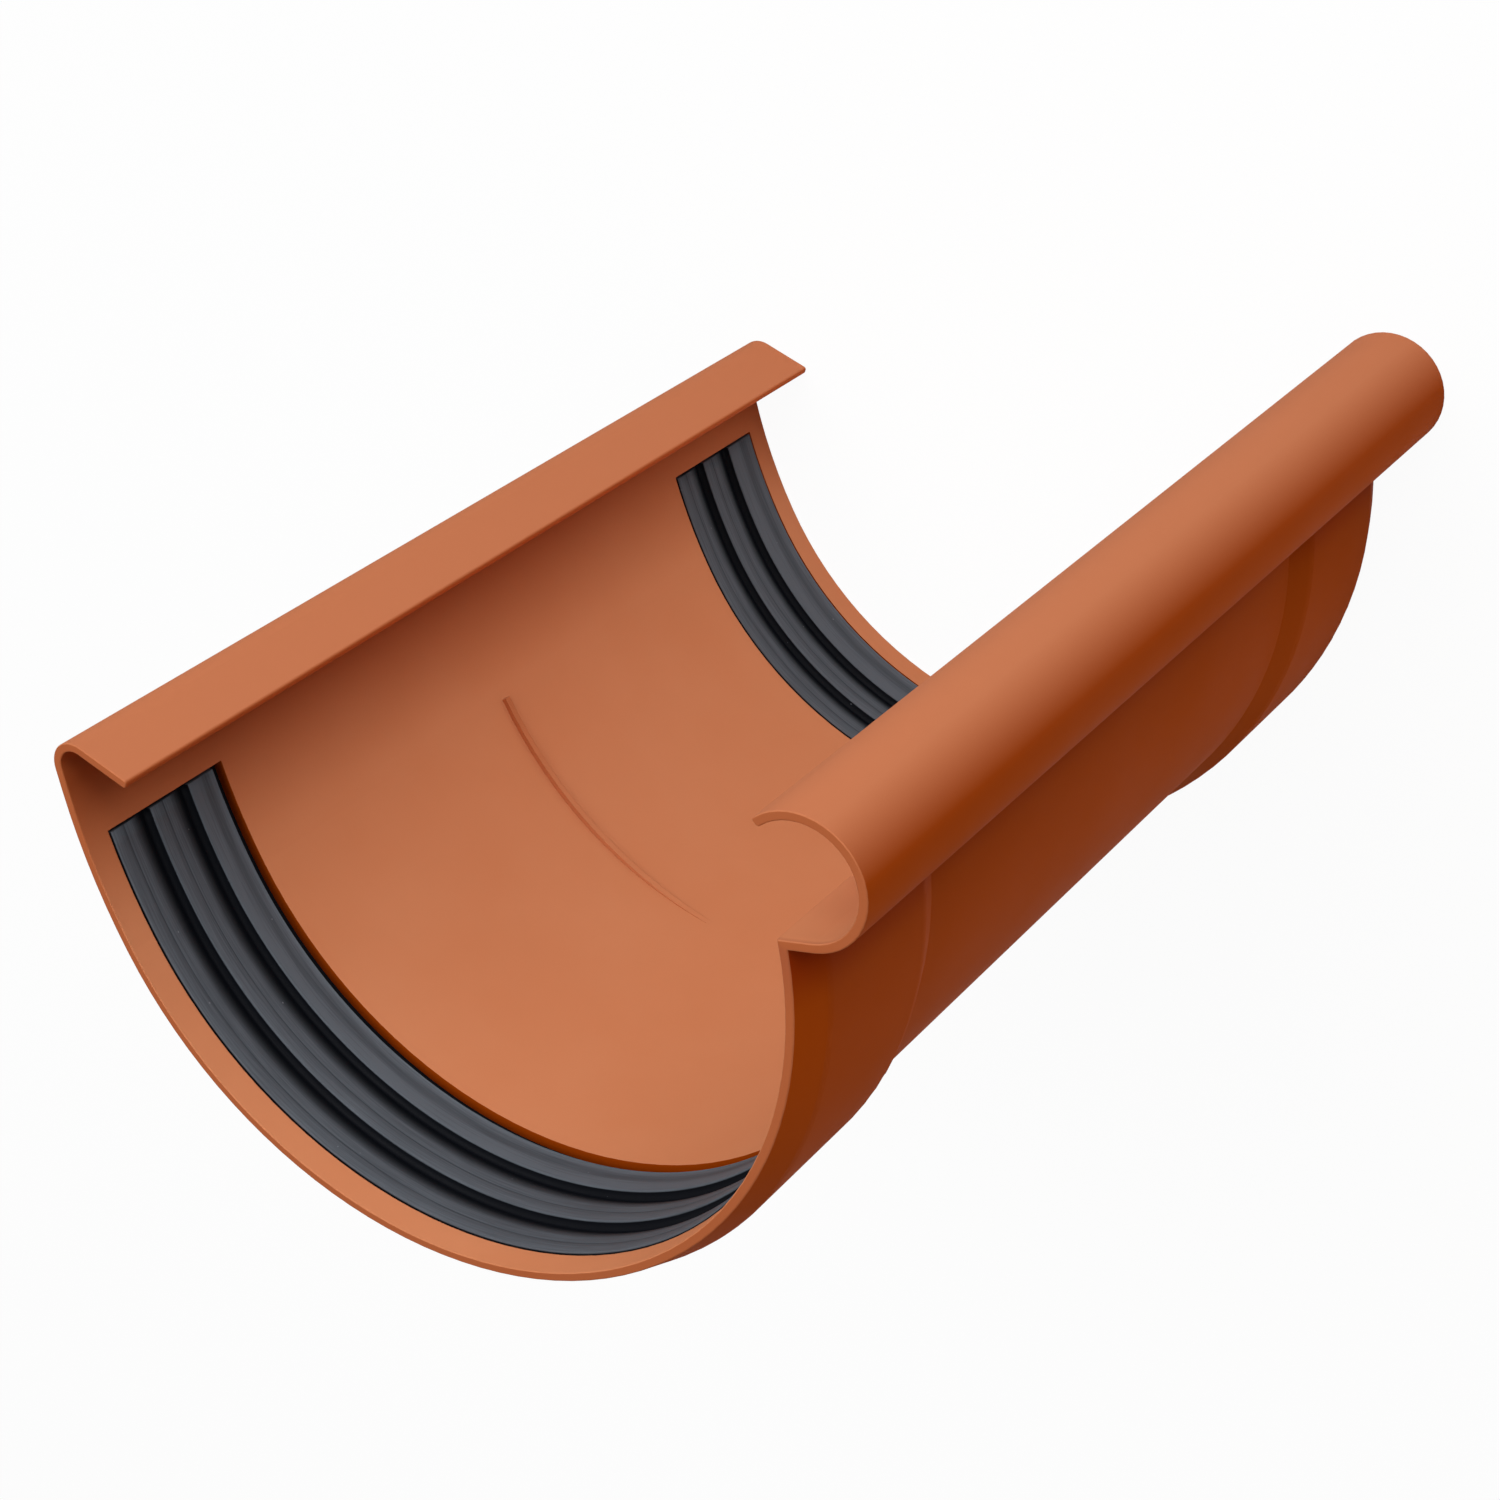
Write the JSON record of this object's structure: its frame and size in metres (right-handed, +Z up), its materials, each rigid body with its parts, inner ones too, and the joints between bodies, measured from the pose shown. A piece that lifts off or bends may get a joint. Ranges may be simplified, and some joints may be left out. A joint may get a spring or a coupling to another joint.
{
  "type": "gutter union",
  "caption": "Half-round moulded gutter union with a curled front bead, a folded rear hook and ribbed rubber seals in recessed pockets.",
  "frame": {"origin": "on the floor, under the middle of the union's outline", "axes": "+Z up along the gutters, as the union stands on one end; +X towards the front bead, -X towards the rear hook, +Y towards the open side of the trough"},
  "size_m": [0.1544, 0.0886, 0.2],
  "materials": {
    "moulded_pvc": "satin moulded",
    "moulded_rubber": "matt"
  },
  "bodies": {
    "root": {"union_body": "moulded_pvc", "seal_upper": "moulded_rubber", "seal_lower": "moulded_rubber"}
  },
  "joints": []
}
